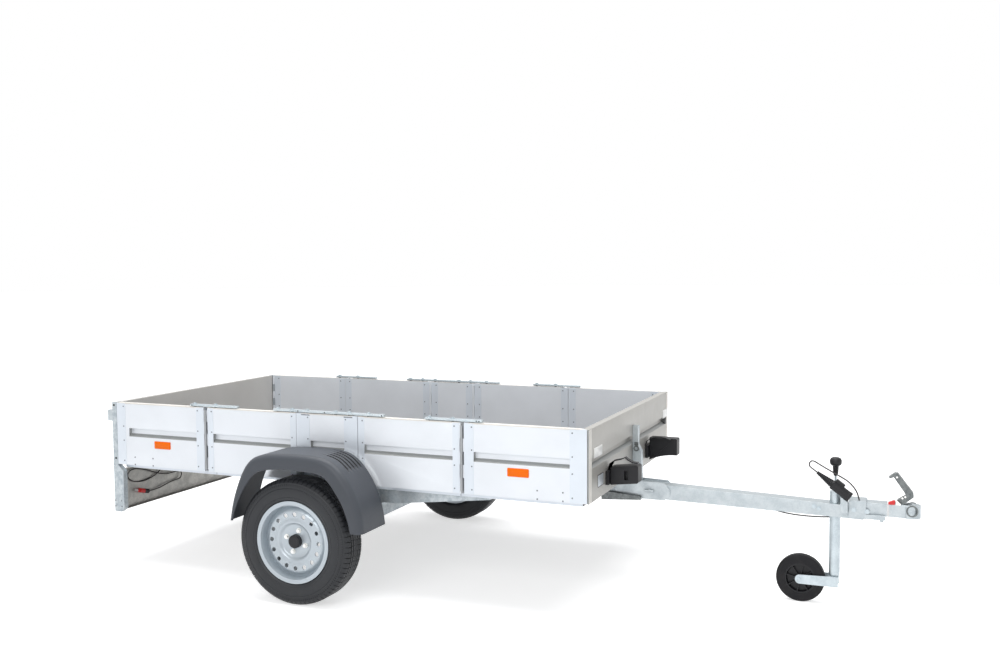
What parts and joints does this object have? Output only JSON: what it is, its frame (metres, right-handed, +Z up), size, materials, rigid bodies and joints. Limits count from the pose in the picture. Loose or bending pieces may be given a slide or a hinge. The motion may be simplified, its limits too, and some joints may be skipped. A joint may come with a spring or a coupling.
{
  "type": "collapsible utility trailer",
  "caption": "Single-axle box trailer with folding aluminium side walls, drop tailgate, mudguards, ball coupling and a swivelling jockey wheel.",
  "frame": {"origin": "on the ground, below the middle of the whole trailer", "axes": "+X forward to the coupling, +Y to the trailer's left, +Z up"},
  "size_m": [3.737, 1.822, 0.84],
  "materials": {
    "galvanised_steel": "zinc coated, mottled",
    "aluminium_panel": "anodised, satin",
    "floor_board": "film-faced plywood",
    "black_plastic": "matt",
    "tyre_rubber": "matt",
    "solid_rubber": "matt",
    "silver_wheel": "silver paint",
    "red_lamp": "clear red",
    "red_plastic": "satin",
    "cable_sheath": "satin"
  },
  "bodies": {
    "chassis": {"side_rails": "galvanised_steel", "outriggers": "galvanised_steel", "cross_members": "galvanised_steel", "middle_beam": "galvanised_steel", "axle_beam": "galvanised_steel", "swing_arm_right": "galvanised_steel", "swing_arm_left": "galvanised_steel", "floor_centre": "floor_board", "wall_centre_right": "aluminium_panel", "wall_centre_left": "aluminium_panel", "lock_bars_centre": "galvanised_steel", "mudguard_right": "black_plastic", "mudguard_left": "black_plastic", "mudguard_stays": "galvanised_steel", "drawbar": "galvanised_steel", "front_post": "galvanised_steel", "coupling_head": "galvanised_steel", "coupling_lever": "galvanised_steel", "plug": "black_plastic", "plug_bracket": "galvanised_steel", "cable_plug": "cable_sheath", "cable_under": "cable_sheath"},
    "wheel_right": {"tyre_right": "tyre_rubber", "rim_right": "silver_wheel", "hub_right": "galvanised_steel"},
    "wheel_left": {"tyre_left": "tyre_rubber", "rim_left": "silver_wheel", "hub_left": "galvanised_steel"},
    "jockey_post": {"jockey_tube": "galvanised_steel", "jockey_crank": "black_plastic"},
    "jockey_fork": {"jockey_fork": "galvanised_steel"},
    "jockey_wheel": {"jockey_wheel": "solid_rubber"},
    "front_inner_right": {"wall_front_inner_right": "aluminium_panel", "lock_bar_front_right": "galvanised_steel"},
    "front_inner_left": {"wall_front_inner_left": "aluminium_panel", "lock_bar_front_left": "galvanised_steel"},
    "front_outer_right": {"wall_front_outer_right": "aluminium_panel"},
    "front_outer_left": {"wall_front_outer_left": "aluminium_panel"},
    "front_board": {"front_board": "aluminium_panel", "chock_holders": "black_plastic", "wheel_chocks": "black_plastic"},
    "rear_inner_right": {"wall_rear_inner_right": "aluminium_panel", "lock_bar_rear_right": "galvanised_steel"},
    "rear_inner_left": {"wall_rear_inner_left": "aluminium_panel", "lock_bar_rear_left": "galvanised_steel"},
    "rear_outer_right": {"wall_rear_outer_right": "aluminium_panel"},
    "rear_outer_left": {"wall_rear_outer_left": "aluminium_panel"},
    "rear_frame": {"rear_posts": "galvanised_steel", "lamp_board": "galvanised_steel", "rear_lamps": "red_lamp", "cable_rear": "cable_sheath", "rear_connector": "red_plastic"},
    "tailgate": {"tailgate": "aluminium_panel", "tailgate_latches": "galvanised_steel"},
    "floor_front_inner": {"floor_front_inner": "floor_board"},
    "floor_front_outer": {"floor_front_outer": "floor_board", "floor_hinge_front": "galvanised_steel"},
    "floor_rear_inner": {"floor_rear_inner": "floor_board"},
    "floor_rear_outer": {"floor_rear_outer": "floor_board", "floor_hinge_rear": "galvanised_steel"}
  },
  "joints": [
    {"name": "wheel_right_roll", "type": "hinge", "parent": "chassis", "child": "wheel_right", "pos_m": [-0.6575, -0.8205, 0.28], "axis": [0, 1, 0], "continuous": true},
    {"name": "wheel_left_roll", "type": "hinge", "parent": "chassis", "child": "wheel_left", "pos_m": [-0.6575, 0.8205, 0.28], "axis": [0, 1, 0], "continuous": true},
    {"name": "jockey_raise", "type": "slide", "parent": "chassis", "child": "jockey_post", "axis": [0, 0, 1], "range_m": [0, 0.165]},
    {"name": "jockey_swivel", "type": "hinge", "parent": "jockey_post", "child": "jockey_fork", "pos_m": [1.5245, 0, 0.104], "axis": [0, 0, 1], "continuous": true},
    {"name": "jockey_roll", "type": "hinge", "parent": "jockey_fork", "child": "jockey_wheel", "pos_m": [1.3835, 0, 0.104], "axis": [0, 1, 0], "continuous": true},
    {"name": "front_fold", "type": "hinge", "parent": "chassis", "child": "front_inner_right", "pos_m": [-0.4715, -0.644, 0.66], "axis": [0, 0, 1], "range_deg": [0, 90]},
    {"name": "front_knee_right", "type": "hinge", "parent": "front_inner_right", "child": "front_outer_right", "pos_m": [0.06, -0.677, 0.66], "axis": [0, 0, 1], "range_deg": [-180, 0]},
    {"name": "front_board_turn", "type": "hinge", "parent": "front_outer_right", "child": "front_board", "pos_m": [0.5915, -0.644, 0.66], "axis": [0, 0, 1], "range_deg": [0, 90]},
    {"name": "front_fold_left", "type": "hinge", "parent": "chassis", "child": "front_inner_left", "pos_m": [-0.4715, 0.644, 0.66], "axis": [0, 0, 1], "range_deg": [-90, 0]},
    {"name": "front_knee_left", "type": "hinge", "parent": "front_inner_left", "child": "front_outer_left", "pos_m": [0.06, 0.677, 0.66], "axis": [0, 0, 1], "range_deg": [0, 180]},
    {"name": "rear_fold", "type": "hinge", "parent": "chassis", "child": "rear_inner_right", "pos_m": [-0.7405, -0.644, 0.66], "axis": [0, 0, -1], "range_deg": [0, 90]},
    {"name": "rear_knee_right", "type": "hinge", "parent": "rear_inner_right", "child": "rear_outer_right", "pos_m": [-1.272, -0.677, 0.66], "axis": [0, 0, -1], "range_deg": [-180, 0]},
    {"name": "rear_frame_turn", "type": "hinge", "parent": "rear_outer_right", "child": "rear_frame", "pos_m": [-1.8035, -0.644, 0.66], "axis": [0, 0, -1], "range_deg": [0, 90]},
    {"name": "rear_fold_left", "type": "hinge", "parent": "chassis", "child": "rear_inner_left", "pos_m": [-0.7405, 0.644, 0.66], "axis": [0, 0, -1], "range_deg": [-90, 0]},
    {"name": "rear_knee_left", "type": "hinge", "parent": "rear_inner_left", "child": "rear_outer_left", "pos_m": [-1.272, 0.677, 0.66], "axis": [0, 0, -1], "range_deg": [0, 180]},
    {"name": "tailgate_drop", "type": "hinge", "parent": "rear_frame", "child": "tailgate", "pos_m": [-1.8245, 0, 0.543], "axis": [0, -1, 0], "range_deg": [0, 90]},
    {"name": "front_floor_lift", "type": "hinge", "parent": "chassis", "child": "floor_front_inner", "pos_m": [-0.5175, 0, 0.499], "axis": [0, -1, 0], "range_deg": [0, 90]},
    {"name": "front_floor_knee", "type": "hinge", "parent": "floor_front_inner", "child": "floor_front_outer", "pos_m": [0.0355, 0, 0.483], "axis": [0, -1, 0], "range_deg": [-180, 0]},
    {"name": "rear_floor_lift", "type": "hinge", "parent": "chassis", "child": "floor_rear_inner", "pos_m": [-0.6945, 0, 0.499], "axis": [0, 1, 0], "range_deg": [0, 90]},
    {"name": "rear_floor_knee", "type": "hinge", "parent": "floor_rear_inner", "child": "floor_rear_outer", "pos_m": [-1.2475, 0, 0.483], "axis": [0, 1, 0], "range_deg": [-180, 0]}
  ],
  "couplings": [
    {"joint": "front_knee_right", "follows": "front_fold", "ratio": -2},
    {"joint": "front_board_turn", "follows": "front_fold", "ratio": 1},
    {"joint": "front_fold_left", "follows": "front_fold", "ratio": -1},
    {"joint": "front_knee_left", "follows": "front_fold", "ratio": 2},
    {"joint": "rear_knee_right", "follows": "rear_fold", "ratio": -2},
    {"joint": "rear_frame_turn", "follows": "rear_fold", "ratio": 1},
    {"joint": "rear_fold_left", "follows": "rear_fold", "ratio": -1},
    {"joint": "rear_knee_left", "follows": "rear_fold", "ratio": 2},
    {"joint": "front_floor_knee", "follows": "front_floor_lift", "ratio": -2},
    {"joint": "rear_floor_knee", "follows": "rear_floor_lift", "ratio": -2}
  ]
}
